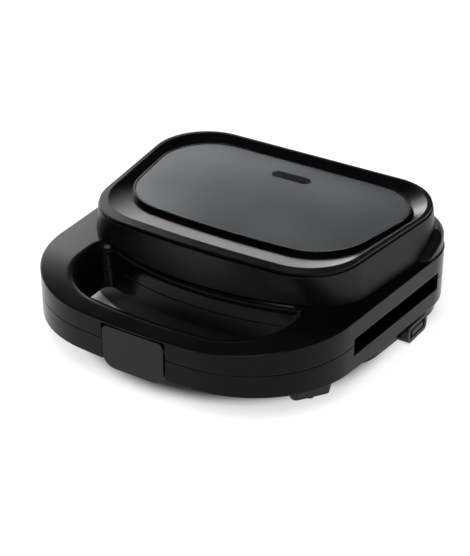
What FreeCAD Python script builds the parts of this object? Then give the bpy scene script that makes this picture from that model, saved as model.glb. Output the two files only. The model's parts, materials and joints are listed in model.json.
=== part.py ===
"""Donut maker: a clam-shell appliance with six ring moulds, a lid on a rear hinge and a front latch.

Frame: millimetres, +Z up, Y from the handle (front, negative) to the hinge (rear), the origin on the
table under the middle of the appliance.
"""
import FreeCAD, Part
import math
import os
import Sketcher
from FreeCAD import Placement, Rotation, Vector

doc = FreeCAD.newDocument("donut_maker")
sheet = doc.addObject("Spreadsheet::Sheet", "sizes")

# Driving sizes, in millimetres and degrees
SIZES = {
    # plan of the outer wall
    "band_half": 125.5,           # half width at the rear
    "band_half_front": 112,       # half width the sides lean to at the front
    "band_front": 120.2,          # from the origin to the front of the handle
    "band_rear": 110.8,           # from the origin to the rear wall
    "band_bow": 520,              # radius of the bowed front
    "band_front_radius": 78,
    "band_rear_radius": 44,
    # heights
    "wall_bottom": 20.4,
    "parting": 36.2,
    "parting_gap": 0.6,
    "shoulder": 54,
    "dip_start": 65,              # the top of the grip falls away in front of here
    "dip_depth": 4.4,
    "tray_bottom": 8,
    "rim_low": 16.2,              # lower edge of the side walls
    "rim_rise_from": 15,          # how far in front of the origin that edge starts to rise
    "rim_tilt": 2.55,              # of the rise
    "skirt_low": 6.5,
    "apron_low": 3,               # the front of the skirt reaches lower
    "apron_rear": 28,
    "skirt_inset": 2,
    "skirt_half_front": 113,
    "skirt_front_radius": 40,
    "skirt_draft": 4,
    # walls
    "wall": 2.6,
    "floor_thick": 2.6,
    "grip_wall": 9,
    "cut_over": 1,                # how far a hollow runs past the face it opens
    # hand hole
    "hole_half": 80,
    "hole_half_front": 78,
    "hole_front": 100.2,
    "hole_rear": 54.2,
    "hole_bow": 400,
    "hole_front_radius": 40,
    "hole_rear_bow": 224,
    "hole_rear_radius": 6,
    "grip_round": 8,
    "edge_round": 0.8,            # small round on edges that are seen
    # vent slot along each side
    "slot_front": 39.2,
    "slot_rear": 68.8,
    "slot_in": 104,
    "slot_drop": 7.9,             # below the parting
    "slot_rise": 4.2,             # above it
    # ring moulds and plates
    "ring_radius": 19,
    "ring_tube": 11,
    "ring_wall": 2.6,
    "ring_pitch_x": 65,
    "ring_pitch_y": 62,
    "ring_count_x": 3,
    "ring_count_y": 2,
    "plate_half": 101,
    "plate_front": 33.2,
    "plate_rear": 94.8,
    "plate_thick": 6,
    "plate_radius": 14,
    "plate_screw_x": 94,
    "plate_screw_front": 25.2,
    "plate_screw_rear": 86.8,
    # heating elements and reflectors
    "element_tube": 3.2,
    "element_half": 75,
    "element_front": 16.2,
    "element_rear": 80.8,
    "element_bend": 30,
    "element_pin": 1.6,
    "element_pin_length": 5,
    "element_gap": 0.3,
    "sheet_thick": 0.8,
    "shield_gap": 1.4,
    "shield_inset": 5,            # of the upper heat shield, inside the foot of the lid
    # tray under the base
    "tray_half": 93,
    "tray_front": 26.6,
    "tray_rear": 93.8,
    "tray_radius": 22,
    "tray_wall": 2.4,
    "tray_flange": 8,
    "flange_thick": 2.2,
    "tray_draft": 6,
    "cover_screw_x": 97.5,
    "cover_screw_front_y": 6.8,
    "cover_screw_rear_y": 52.8,
    "cover_boss_height": 4,
    # screws
    "screw_shank": 1.6,
    "screw_head": 3.1,
    "screw_head_height": 2.2,
    "screw_clear": 0.25,
    "boss_radius": 4,
    # feet
    "pad_thick": 2,
    "pad_inset": 1.5,
    "front_foot_in": 30,          # from the side wall to its middle
    "front_foot_y": 58,
    "front_foot_length": 34,
    "front_foot_width": 16,
    "front_foot_radius": 7,
    "front_foot_draft": 11,
    "front_foot_turn": 35,        # follows the corner above
    "rear_foot_x": 80,
    "rear_foot_y": 80.8,
    "rear_foot_radius": 8,
    # cord cleats
    "cleat_front": 30.8,
    "cleat_rear": 58.8,
    "cleat_set": 4.1,             # behind the side wall
    "cleat_deep": 18.4,
    "cleat_low": 1,
    "cleat_top": 14,
    "cleat_round": 4,
    "cleat_neck": 9,              # thickness of the neck up to the shell
    "cleat_rim": 3,
    "cleat_recess": 2.5,
    "cleat_core": 3,
    "cleat_clear": 0.5,
    # raised lid
    "dome_inset": 4.5,            # inside the side wall at the rear
    "dome_inset_front": 9,
    "dome_front_radius": 40,
    "dome_rear_radius": 43,
    "dome_wall": 2.4,
    "dome_flange": 15,
    "dome_ledge": 0.9,
    "housing_front": 54,
    "housing_ramp": 30,           # length over which the fuller end rises
    "housing_height": 12,
    "housing_inset": 1,
    "housing_front_radius": 6,
    "housing_round": 5,
    "lip_inset": 5,               # inside the foot of the dome at the rear
    "lip_inset_front": 7,
    "lip_front": 48.7,
    "lip_rear": 109.3,
    "lip_bow": 1000,
    "lip_front_radius": 42,
    "lip_rear_radius": 40,
    "lip_width": 1.6,
    "lip_step": 2.6,
    "lip_mid_height": 79.6,
    "lip_tilt": 1.5,
    "dish_mid_height": 75.9,
    "dish_tilt": 0.3,
    "dish_thick": 2,
    # panel on the lid
    "panel_height": 78.8,
    "dish_side": 10.9,            # from the lip in to the panel at the rear
    "dish_side_front": 12.2,
    "panel_front": 18.1,
    "panel_rear": 97.5,
    "panel_bow": 724,
    "panel_front_radius": 40.8,
    "panel_rear_radius": 38,
    "panel_thick": 1.4,
    "panel_gap": 0.5,
    "panel_border": 2,
    "panel_sink": 0.2,
    "lens_y": 75,
    "lens_half": 16,
    "lens_round": 5.2,
    "lens_gap": 0.15,
    "lens_deep": 4,
    "lamp_radius": 2.5,
    "lamp_height": 6,
    "lamp_spacing": 14,
    "carrier_thick": 1.6,
    "carrier_margin": 6,
    # hinge
    "hinge_gap": 4.9,             # from the rear wall to the hinge axis
    "knuckle_radius": 4.5,
    "hinge_pin_radius": 2.2,
    "hinge_pin_clear": 0.08,
    "pin_fit_clear": 0.02,
    "hinge_x": 58,
    "arm_half": 8.6,
    "lug_gap": 0.4,
    "lug_length": 8,
    "pin_head_radius": 3.4,
    "pin_head_thick": 1.2,
    "web_height": 4.5,
    # latch
    "latch_half": 24,
    "latch_gap": 1,
    "latch_cheek": 6,
    "latch_thick": 5,
    "latch_lip": 2,
    "latch_lip_height": 12,
    "latch_lip_radius": 1,
    "latch_bottom": 16.2,
    "latch_top": 47.2,
    "latch_top_radius": 5,
    "latch_bottom_radius": 9,
    "latch_recess": 9.5,
    "latch_roof": 48.2,
    "latch_pivot_height": 41,
    "latch_pivot_in": 3.2,
    "latch_pin_radius": 1.5,
    "latch_pin_clear": 0.08,
    "latch_barrel": 3.2,
    "latch_pin_bury": 3,
    # electrical pieces
    "gland_x": -12,
    "gland_radius": 4.5,
    "gland_flange": 6.5,
    "gland_flange_thick": 1.5,
    "gland_bore": 3.2,
    "block_length": 24,
    "block_width": 8,
    "block_height": 10,
    "thermostat_radius": 7,
    "thermostat_cap": 5,
    "thermostat_foot": 4.9,
    "thermostat_height": 4,
    "fuse_radius": 2,
    "fuse_length": 14,
    "fuse_strap": 6,
    "fuse_strap_thick": 0.8,
}
for row, (alias, value) in enumerate(SIZES.items(), start=1):
    sheet.set("A%d" % row, alias)
    sheet.set("B%d" % row, str(value))
    sheet.setAlias("B%d" % row, alias)
doc.recompute()

NODES = {}
START, END, CENTRE = 1, 2, 3
ORIGIN, Y_AXIS = -1, -2


def cell(expression):
    """Write an expression over sheet names with the sheet's own prefix."""
    words = []
    word = ""
    for mark in expression + " ":
        if mark.isalnum() or mark == "_":
            word += mark
            continue
        words.append("sizes." + word if word in SIZES else word)
        words.append(mark)
        word = ""
    return "".join(words).strip()


def value_of(expression):
    """The number that an expression over the sheet gives now."""
    return float(sheet.evalExpression(cell(expression)))


def bind(thing, path, expression):
    """Tie one property of an object to the sheet."""
    thing.setExpression(path, cell(expression))


def node(label, thing):
    """Name a finished sub-part."""
    thing.Label = label
    NODES[label] = thing
    return thing


def new_body(label):
    """An empty body that will carry one sub-part."""
    return node(label, doc.addObject("PartDesign::Body", label))


def new_sketch(body, name, height, plane="XY_Plane", tilt=None, lean=1):
    """A sketch on a plane of its body, raised along the plane's normal and tilted about its X axis, with
    its rear end up (lean 1) or its front end up (lean -1)."""
    sketch = body.newObject("Sketcher::SketchObject", body.Label + "_" + name)
    support = next(f for f in body.Origin.OriginFeatures if f.Role == plane)
    sketch.AttachmentSupport = [(support, "")]
    sketch.MapMode = "FlatFace"
    if tilt is not None:
        sketch.AttachmentOffset = Placement(Vector(0, 0, 0), Rotation(Vector(lean, 0, 0), value_of(tilt)))
        bind(sketch, "AttachmentOffset.Rotation.Angle", tilt)
    bind(sketch, "AttachmentOffset.Base.z", height)
    return sketch


def named(sketch, constraint, expression):
    """Add a constraint whose value follows the sheet."""
    index = sketch.addConstraint(constraint)
    name = "set%d" % index
    sketch.renameConstraint(index, name)
    bind(sketch, "Constraints." + name, expression)


def place(sketch, axis, geometry, point, expression):
    """Hold a point at a signed distance from the origin along one axis."""
    value = value_of(expression)
    if value < 0:
        named(sketch, Sketcher.Constraint(axis, geometry, point, ORIGIN, START, -value),
              "-(%s)" % expression)
    else:
        named(sketch, Sketcher.Constraint(axis, ORIGIN, START, geometry, point, value), expression)


def corner_centre(half, half_front, front, rear, radius, meet):
    """Centre of a corner arc: a radius inside the leaning side line, where meet() says."""
    length = math.hypot(half_front - half, front - rear)
    along = Vector((half_front - half) / length, (front - rear) / length, 0)
    inward = Vector(along.y, -along.x, 0)
    start = Vector(half, rear, 0) + inward * radius
    return start, along, start + along * meet(start, along)


def on_line(height):
    """Distance along a ray to a given height."""
    return lambda start, along: (height - start.y) / along.y


def on_circle(centre_y, reach):
    """Distance along a ray to where it leaves a circle about a point of the Y axis."""
    def meet(start, along):
        offset = start - Vector(0, centre_y, 0)
        half_b = offset.dot(along)
        return math.sqrt(half_b ** 2 - offset.dot(offset) + reach ** 2) - half_b
    return meet


def arc(centre, radius, first, last):
    """Counter-clockwise arc between two points."""
    angles = [math.atan2(p.y - centre.y, p.x - centre.x) for p in (first, last)]
    if angles[1] < angles[0]:
        angles[1] += 2 * math.pi
    return Part.ArcOfCircle(Part.Circle(centre, Vector(0, 0, 1), radius), *angles)


def mirror(point):
    """The same point on the other side."""
    return Vector(-point.x, point.y, 0)


def outline(sketch, half, half_front, front, rear, front_radius, rear_radius, bow=None, rear_bow=None):
    """Rounded outline, alike on both sides: leaning sides, front straight or bowed out, rear straight or
    bowed in. Every argument is an expression; front and rear are heights along Y."""
    numbers = [value_of(e) for e in (half, half_front, front, rear, front_radius, rear_radius)]
    half_v, half_front_v, front_v, rear_v, front_r, rear_r = numbers
    if bow is None:
        front_meet = on_line(front_v + front_r)
    else:
        bow_v = value_of(bow)
        front_meet = on_circle(front_v + bow_v, bow_v - front_r)
    if rear_bow is None:
        rear_meet = on_line(rear_v - rear_r)
    else:
        rear_bow_v = value_of(rear_bow)
        rear_meet = on_circle(rear_v + rear_bow_v, rear_bow_v + rear_r)
    start, along, front_c = corner_centre(half_v, half_front_v, front_v, rear_v, front_r, front_meet)
    side_front = front_c - Vector(along.y, -along.x, 0) * front_r
    start, along, rear_c = corner_centre(half_v, half_front_v, front_v, rear_v, rear_r, rear_meet)
    side_rear = rear_c - Vector(along.y, -along.x, 0) * rear_r
    if bow is None:
        front_touch = front_c - Vector(0, front_r, 0)
        front_edge = Part.LineSegment(mirror(front_touch), front_touch)
    else:
        bow_c = Vector(0, front_v + bow_v, 0)
        front_touch = front_c + (front_c - bow_c).normalize() * front_r
        front_edge = arc(bow_c, bow_v, mirror(front_touch), front_touch)
    if rear_bow is None:
        rear_touch = rear_c + Vector(0, rear_r, 0)
        rear_edge = Part.LineSegment(rear_touch, mirror(rear_touch))
        rear_ends = (START, END)
    else:
        rear_bow_c = Vector(0, rear_v + rear_bow_v, 0)
        rear_touch = rear_c + (rear_bow_c - rear_c).normalize() * rear_r
        rear_edge = arc(rear_bow_c, rear_bow_v, mirror(rear_touch), rear_touch)
        rear_ends = (END, START)
    edges = [
        front_edge,
        arc(front_c, front_r, front_touch, side_front),
        Part.LineSegment(side_front, side_rear),
        arc(rear_c, rear_r, side_rear, rear_touch),
        rear_edge,
        arc(mirror(rear_c), rear_r, mirror(rear_touch), mirror(side_rear)),
        Part.LineSegment(mirror(side_rear), mirror(side_front)),
        arc(mirror(front_c), front_r, mirror(side_front), mirror(front_touch)),
    ]
    ids = [sketch.addGeometry(edge, False) for edge in edges]
    ends = [(START, END)] * len(ids)
    ends[4] = rear_ends
    for this in range(len(ids)):
        other = (this + 1) % len(ids)
        sketch.addConstraint(Sketcher.Constraint(
            "Tangent", ids[this], ends[this][1], ids[other], ends[other][0]))
    named(sketch, Sketcher.Constraint("Radius", ids[1], front_r), front_radius)
    named(sketch, Sketcher.Constraint("Radius", ids[3], rear_r), rear_radius)
    sketch.addConstraint(Sketcher.Constraint("Equal", ids[1], ids[7]))
    sketch.addConstraint(Sketcher.Constraint("Equal", ids[3], ids[5]))
    if bow is None:
        sketch.addConstraint(Sketcher.Constraint("Horizontal", ids[0]))
        place(sketch, "DistanceY", ids[0], START, front)
    else:
        sketch.addConstraint(Sketcher.Constraint("PointOnObject", ids[0], CENTRE, Y_AXIS))
        named(sketch, Sketcher.Constraint("Radius", ids[0], bow_v), bow)
        place(sketch, "DistanceY", ids[0], CENTRE, "%s + %s" % (front, bow))
    if rear_bow is None:
        sketch.addConstraint(Sketcher.Constraint("Horizontal", ids[4]))
        place(sketch, "DistanceY", ids[4], START, rear)
    else:
        sketch.addConstraint(Sketcher.Constraint("PointOnObject", ids[4], CENTRE, Y_AXIS))
        named(sketch, Sketcher.Constraint("Radius", ids[4], rear_bow_v), rear_bow)
        place(sketch, "DistanceY", ids[4], CENTRE, "%s + %s" % (rear, rear_bow))
    for side, line in ((1, ids[2]), (-1, ids[6])):
        for reach, reach_v, height, height_v in ((half, half_v, rear, rear_v),
                                                 (half_front, half_front_v, front, front_v)):
            mark = sketch.addGeometry(Part.Point(Vector(side * reach_v, height_v, 0)), True)
            place(sketch, "DistanceX", mark, START, reach if side > 0 else "-(%s)" % reach)
            place(sketch, "DistanceY", mark, START, height)
            sketch.addConstraint(Sketcher.Constraint("PointOnObject", mark, START, line))


def rectangle(sketch, left, right, low, high):
    """Rectangle between four expressions."""
    x = [value_of(left), value_of(right)]
    y = [value_of(low), value_of(high)]
    corners = [Vector(x[0], y[0], 0), Vector(x[1], y[0], 0), Vector(x[1], y[1], 0), Vector(x[0], y[1], 0)]
    ids = [sketch.addGeometry(Part.LineSegment(corners[i], corners[(i + 1) % 4]), False) for i in range(4)]
    for i in range(4):
        sketch.addConstraint(Sketcher.Constraint("Coincident", ids[i], END, ids[(i + 1) % 4], START))
        sketch.addConstraint(Sketcher.Constraint(("Horizontal", "Vertical")[i % 2], ids[i]))
    place(sketch, "DistanceX", ids[0], START, left)
    place(sketch, "DistanceX", ids[0], END, right)
    place(sketch, "DistanceY", ids[0], START, low)
    place(sketch, "DistanceY", ids[2], START, high)


def triangle(sketch, *corners):
    """Triangle between three points given as pairs of expressions."""
    points = [Vector(value_of(x), value_of(y), 0) for x, y in corners]
    ids = [sketch.addGeometry(Part.LineSegment(points[i], points[(i + 1) % 3]), False) for i in range(3)]
    for i in range(3):
        sketch.addConstraint(Sketcher.Constraint("Coincident", ids[i], END, ids[(i + 1) % 3], START))
        place(sketch, "DistanceX", ids[i], START, corners[i][0])
        place(sketch, "DistanceY", ids[i], START, corners[i][1])


def above_arc(sketch, start, end, level, radius, top):
    """Room above an arc that leaves a level line at start and falls away as far as end."""
    start_v, end_v, level_v, radius_v, top_v = [value_of(e) for e in (start, end, level, radius, top)]
    fall = radius_v - math.sqrt(radius_v ** 2 - (end_v - start_v) ** 2)
    first, last = Vector(start_v, level_v, 0), Vector(end_v, level_v - fall, 0)
    upper = [Vector(end_v, top_v, 0), Vector(start_v, top_v, 0)]
    edges = [arc(Vector(start_v, level_v - radius_v, 0), radius_v, first, last),
             Part.LineSegment(last, upper[0]),
             Part.LineSegment(upper[0], upper[1]),
             Part.LineSegment(upper[1], first)]
    ids = [sketch.addGeometry(edge, False) for edge in edges]
    for i in range(4):
        sketch.addConstraint(Sketcher.Constraint("Coincident", ids[i], END, ids[(i + 1) % 4], START))
    for line, way in ((ids[1], "Vertical"), (ids[2], "Horizontal"), (ids[3], "Vertical")):
        sketch.addConstraint(Sketcher.Constraint(way, line))
    named(sketch, Sketcher.Constraint("Radius", ids[0], radius_v), radius)
    place(sketch, "DistanceX", ids[0], CENTRE, start)
    place(sketch, "DistanceX", ids[3], END, start)
    place(sketch, "DistanceX", ids[1], START, end)
    place(sketch, "DistanceY", ids[3], END, level)
    place(sketch, "DistanceY", ids[2], START, top)


def circle(sketch, x, y, radius):
    """Circle whose centre and radius are expressions."""
    centre = Vector(value_of(x), value_of(y), 0)
    ring = sketch.addGeometry(Part.Circle(centre, Vector(0, 0, 1), value_of(radius)), False)
    named(sketch, Sketcher.Constraint("Radius", ring, value_of(radius)), radius)
    place(sketch, "DistanceX", ring, CENTRE, x)
    place(sketch, "DistanceY", ring, CENTRE, y)


def pad(sketch, length, down=False, draft=None):
    """Grow a sketch into its body."""
    body = sketch.getParentGeoFeatureGroup()
    feature = body.newObject("PartDesign::Pad", sketch.Label + "_pad")
    feature.Profile = sketch
    feature.Reversed = down
    bind(feature, "Length", length)
    if draft is not None:
        bind(feature, "TaperAngle", "-(%s)" % draft)
    return feature


def pocket(sketch, length, up=False, both_ways=False, draft=None):
    """Cut a sketch out of its body and make sure that it cut something."""
    body = sketch.getParentGeoFeatureGroup()
    doc.recompute()
    before = body.Shape.Volume
    feature = body.newObject("PartDesign::Pocket", sketch.Label + "_pocket")
    feature.Profile = sketch
    feature.Reversed = up
    if both_ways:
        feature.Midplane = True
    bind(feature, "Length", length)
    if draft is not None:
        bind(feature, "TaperAngle", "-(%s)" % draft)
    doc.recompute()
    if body.Shape.Volume >= before:
        raise RuntimeError("nothing was cut by " + feature.Label)
    return feature


def loft(lower, upper, cut=False):
    """Blend two outlines of one body, as material or as a hollow."""
    body = lower.getParentGeoFeatureGroup()
    kind = "PartDesign::SubtractiveLoft" if cut else "PartDesign::AdditiveLoft"
    feature = body.newObject(kind, lower.Label + "_loft")
    feature.Profile = lower
    feature.Sections = [upper]
    feature.Ruled = True
    return feature


def round_edges(body, label, radius, wanted):
    """Fillet the edges of a body for which wanted(edge) is true."""
    doc.recompute()
    names = ["Edge%d" % (i + 1) for i, edge in enumerate(body.Shape.Edges) if wanted(edge)]
    base = body.Tip
    feature = body.newObject("PartDesign::Fillet", label)
    feature.Base = (base, names)
    bind(feature, "Radius", radius)
    return feature


def at_height(expression):
    """Test for edges that lie flat at one height."""
    height = value_of(expression)
    return lambda edge: abs(edge.BoundBox.ZMin - height) + abs(edge.BoundBox.ZMax - height) < 0.01


def box(name, low, high):
    """Block between two corners given as expressions."""
    block = doc.addObject("Part::Box", name)
    for axis, side, a, b in zip("xyz", ("Length", "Width", "Height"), low, high):
        bind(block, "Placement.Base." + axis, a)
        bind(block, side, "(%s) - (%s)" % (b, a))
    return block


def rod(name, start, length, radius, along=Vector(0, 0, 1)):
    """Round bar from a point, along an axis."""
    bar = doc.addObject("Part::Cylinder", name)
    bar.Placement = Placement(Vector(0, 0, 0), Rotation(Vector(0, 0, 1), along))
    for axis, expression in zip("xyz", start):
        bind(bar, "Placement.Base." + axis, expression)
    bind(bar, "Height", length)
    bind(bar, "Radius", radius)
    return bar


def joined(name, pieces):
    """One solid from several that meet."""
    whole = doc.addObject("Part::MultiFuse", name)
    whole.Shapes = pieces
    whole.Refine = True
    return whole


def cut_from(name, base, tools):
    """A solid less several others."""
    for number, tool in enumerate(tools):
        result = doc.addObject("Part::Cut", "%s_cut%d" % (name, number))
        result.Base = base
        result.Tool = tool
        base = result
    return base


def group(name, pieces):
    """Several like solids that share one node."""
    together = doc.addObject("Part::Compound", name)
    together.Links = pieces
    return together


# Derived heights
BASE_TOP = "(parting - parting_gap / 2)"
LID_LOW = "(parting + parting_gap / 2)"
BASE_FLOOR = "(wall_bottom + floor_thick)"
RING_OUT = "(ring_tube + ring_wall)"
HINGE_Y = "(band_rear + hinge_gap)"
LOWER_ELEMENT = "(%s - %s - element_gap - element_tube)" % (BASE_TOP, RING_OUT)
UPPER_ELEMENT = "(%s + %s + element_gap + element_tube)" % (LID_LOW, RING_OUT)
RING_MID_Y = "((plate_rear - plate_front) / 2)"
LATCH_PIVOT_Y = "(-band_front + latch_pivot_in)"
FRONT_FOOT_X = "(band_half - front_foot_in)"
CLEAT_OUT = "(band_half - cleat_set)"
CLEAT_IN = "(%s - cleat_deep)" % CLEAT_OUT
CLEAT_NECK = "(%s + cleat_neck)" % CLEAT_IN
DOME_HALF = "(band_half - dome_inset)"
DOME_HALF_FRONT = "(band_half_front - dome_inset_front)"
LIP_HALF = "(%s - lip_inset)" % DOME_HALF
LIP_HALF_FRONT = "(%s - lip_inset_front)" % DOME_HALF_FRONT
PANEL_HALF = "(%s - dish_side)" % LIP_HALF
PANEL_HALF_FRONT = "(%s - dish_side_front)" % LIP_HALF_FRONT
SKIRT_TAPER = "((wall_bottom - skirt_low) * tan(skirt_draft * 1deg))"
DIP_RADIUS = "(((band_front - dip_start) ^ 2 + dip_depth ^ 2) / (2 * dip_depth))"


def band_outline(sketch, inset="0"):
    """Outer wall of both shells, or a line inside it."""
    inset = "(%s)" % inset
    outline(sketch, "band_half - %s" % inset, "band_half_front - %s" % inset, "-band_front + %s" % inset,
            "band_rear - %s" % inset, "band_front_radius - %s" % inset, "band_rear_radius - %s" % inset,
            bow="band_bow - %s" % inset)


def hole_outline(sketch, outset="0"):
    """Hand hole, or a line outside it."""
    outset = "(%s)" % outset
    outline(sketch, "hole_half + %s" % outset, "hole_half_front + %s" % outset, "-hole_front - %s" % outset,
            "-hole_rear + %s" % outset, "hole_front_radius + %s" % outset, "hole_rear_radius + %s" % outset,
            bow="hole_bow + %s" % outset, rear_bow="hole_rear_bow - %s" % outset)


def screw_places(x, front_y, rear_y):
    """Four places, alike on both sides."""
    return [(sign + x, y) for sign in ("", "-") for y in (front_y, rear_y)]


PLATE_SCREWS = screw_places("plate_screw_x", "-plate_screw_front", "plate_screw_rear")
COVER_SCREWS = screw_places("cover_screw_x", "cover_screw_front_y", "cover_screw_rear_y")


def base_shell():
    """Lower shell: band, floor, walls round the hand hole, bosses, latch recess and vent slots."""
    body = new_body("base_shell")
    height = "%s - wall_bottom" % BASE_TOP
    plan = new_sketch(body, "plan", "wall_bottom")
    band_outline(plan)
    hole_outline(plan)
    pad(plan, height)
    hollow = new_sketch(body, "hollow", BASE_TOP)
    band_outline(hollow, "wall")
    hole_outline(hollow, "wall")
    pocket(hollow, "%s - floor_thick" % height)
    rim = new_sketch(body, "rim", "rim_low")
    band_outline(rim)
    band_outline(rim, "wall")
    pad(rim, "%s - rim_low" % BASE_FLOOR)
    rise_level = "rim_low - rim_rise_from * tan(rim_tilt * 1deg)"
    rise = new_sketch(body, "rise", rise_level, tilt="rim_tilt", lean=-1)
    rectangle(rise, "-2 * band_half", "2 * band_half", "-2 * band_front", "0")
    pocket(rise, "wall_bottom")
    skirt = new_sketch(body, "skirt", "wall_bottom")
    skirt_outline(skirt)
    pad(skirt, "wall_bottom - skirt_low", down=True, draft="skirt_draft")
    skirt_room = new_sketch(body, "skirt_room", "wall_bottom")
    skirt_outline(skirt_room, "wall")
    pocket(skirt_room, "wall_bottom - skirt_low + cut_over", draft="skirt_draft")
    apron = new_sketch(body, "apron", "skirt_low")
    skirt_outline(apron, SKIRT_TAPER)
    skirt_outline(apron, "%s + wall" % SKIRT_TAPER)
    pad(apron, "skirt_low - apron_low", down=True)
    behind_apron = new_sketch(body, "behind_apron", "skirt_low")
    rectangle(behind_apron, "-2 * band_half", "2 * band_half", "-apron_rear", "2 * band_rear")
    pocket(behind_apron, "skirt_low")
    cleat_gaps = new_sketch(body, "cleat_gaps", "0", plane="YZ_Plane")
    rectangle(cleat_gaps, "cleat_front - cleat_clear", "cleat_rear + cleat_clear", "0",
              "cleat_top + cleat_clear")
    pocket(cleat_gaps, "3 * band_half", both_ways=True)
    keeper = new_sketch(body, "keeper", "wall_bottom")
    rectangle(keeper, "-latch_half - latch_gap - latch_cheek", "latch_half + latch_gap + latch_cheek",
              "-band_front + wall", "-hole_front - wall / 2")
    pad(keeper, height)
    posts = new_sketch(body, "posts", BASE_FLOOR)
    for x, y in PLATE_SCREWS:
        circle(posts, x, y, "boss_radius")
    pad(posts, "%s - plate_thick - %s" % (BASE_TOP, BASE_FLOOR))
    cover_posts = new_sketch(body, "cover_posts", BASE_FLOOR)
    for x, y in COVER_SCREWS:
        circle(cover_posts, x, y, "boss_radius")
    pad(cover_posts, "cover_boss_height")
    opening = new_sketch(body, "opening", BASE_FLOOR)
    tray_outline(opening, "tray_wall")
    pocket(opening, "floor_thick")
    latch_recess = new_sketch(body, "latch_recess", BASE_TOP)
    rectangle(latch_recess, "-latch_half - latch_gap", "latch_half + latch_gap",
              "-band_front - wall", "-band_front + latch_recess")
    pocket(latch_recess, height)
    slots = new_sketch(body, "slots", BASE_TOP)
    slot_outlines(slots)
    pocket(slots, "slot_drop")
    threads = new_sketch(body, "threads", "%s - plate_thick" % BASE_TOP)
    for x, y in PLATE_SCREWS:
        circle(threads, x, y, "screw_shank + pin_fit_clear")
    pocket(threads, "%s - plate_thick - %s" % (BASE_TOP, BASE_FLOOR))
    cover_threads = new_sketch(body, "cover_threads", "%s + cover_boss_height" % BASE_FLOOR)
    for x, y in COVER_SCREWS:
        circle(cover_threads, x, y, "screw_shank + pin_fit_clear")
    pocket(cover_threads, "floor_thick + cover_boss_height")
    inlet = new_sketch(body, "inlet", "-band_rear - wall", plane="XZ_Plane")
    circle(inlet, "gland_x", "(%s + wall_bottom) / 2" % BASE_TOP, "gland_radius + pin_fit_clear")
    pocket(inlet, "3 * wall", up=True)


def skirt_outline(sketch, inset="0"):
    """Lower wall inside the band, under the plates, or a line inside it."""
    inset = "(skirt_inset + %s)" % inset
    outline(sketch, "band_half - %s" % inset, "skirt_half_front - %s" % inset, "-hole_rear + %s" % inset,
            "band_rear - %s" % inset, "skirt_front_radius - %s" % inset, "band_rear_radius - %s" % inset,
            bow="hole_rear_bow - %s" % inset)


def slot_outlines(sketch):
    """Vent slots through both side walls, as seen from above."""
    rectangle(sketch, "slot_in", "2 * band_half", "-slot_front", "slot_rear")
    rectangle(sketch, "-2 * band_half", "-slot_in", "-slot_front", "slot_rear")


def tray_outline(sketch, inset="0"):
    """Tray under the base, or a line inside it."""
    inset = "(%s)" % inset
    outline(sketch, "tray_half - %s" % inset, "tray_half - %s" % inset, "-tray_front + %s" % inset,
            "tray_rear - %s" % inset, "tray_radius - %s" % inset, "tray_radius - %s" % inset)


def bottom_cover():
    """Tray that closes the base, with a screw flange and holes for its screws."""
    body = new_body("bottom_cover")
    flange = new_sketch(body, "flange", "wall_bottom - flange_thick")
    tray_outline(flange, "-tray_flange")
    pad(flange, "flange_thick")
    tub = new_sketch(body, "tub", "wall_bottom")
    tray_outline(tub)
    pad(tub, "wall_bottom - tray_bottom", down=True, draft="tray_draft")
    inside = new_sketch(body, "inside", "wall_bottom")
    tray_outline(inside, "tray_wall")
    pocket(inside, "wall_bottom - tray_bottom - tray_wall", draft="tray_draft")
    holes = new_sketch(body, "holes", "wall_bottom")
    for x, y in COVER_SCREWS:
        circle(holes, x, y, "screw_shank + screw_clear")
    pocket(holes, "flange_thick")


def screws(label, places, seat, length, up):
    """Group of like screws: flat heads on a seat, shanks going up or down from it."""
    pieces = []
    for number, (x, y) in enumerate(places):
        head_low = "%s - screw_head_height" % seat if up else seat
        shank_low = seat if up else "%s - %s" % (seat, length)
        name = "%s_%d" % (label, number)
        head = rod(name + "_head", (x, y, head_low), "screw_head_height", "screw_head")
        shank = rod(name + "_shank", (x, y, shank_low), length, "screw_shank")
        pieces.append(joined(name, [head, shank]))
    node(label, group(label, pieces))


def front_foot(side, sign):
    """Tapered front foot under a handle root."""
    body = new_body("front_foot_" + side)
    top = new_sketch(body, "top", "wall_bottom")
    outline(top, "front_foot_width / 2", "front_foot_width / 2", "-front_foot_length / 2",
            "front_foot_length / 2", "front_foot_radius", "front_foot_radius")
    pad(top, "wall_bottom - pad_thick", down=True, draft="front_foot_draft")
    turn = value_of(sign + "front_foot_turn")
    body.Placement = Placement(Vector(0, 0, 0), Rotation(Vector(0, 0, -1), turn))
    bind(body, "Placement.Base.x", sign + FRONT_FOOT_X)
    bind(body, "Placement.Base.y", "-front_foot_y")


def rear_foot(side, sign):
    """Stub foot under the tray."""
    stub = rod("rear_foot_%s_stub" % side, (sign + "rear_foot_x", "rear_foot_y", "pad_thick"),
               "tray_bottom - pad_thick", "rear_foot_radius")
    node("rear_foot_" + side, stub)


def foot_pads():
    """Rubber pads under the four feet."""
    foot_tip = "(front_foot_width / 2 - (wall_bottom - pad_thick) * tan(front_foot_draft * 1deg) - pad_inset)"
    pieces = []
    for sign in ("", "-"):
        pieces.append(rod("front_pad", (sign + FRONT_FOOT_X, "-front_foot_y", "0"), "pad_thick", foot_tip))
        pieces.append(rod("rear_pad", (sign + "rear_foot_x", "rear_foot_y", "0"), "pad_thick",
                          "rear_foot_radius - pad_inset"))
    node("foot_pads", group("foot_pads", pieces))


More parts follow.
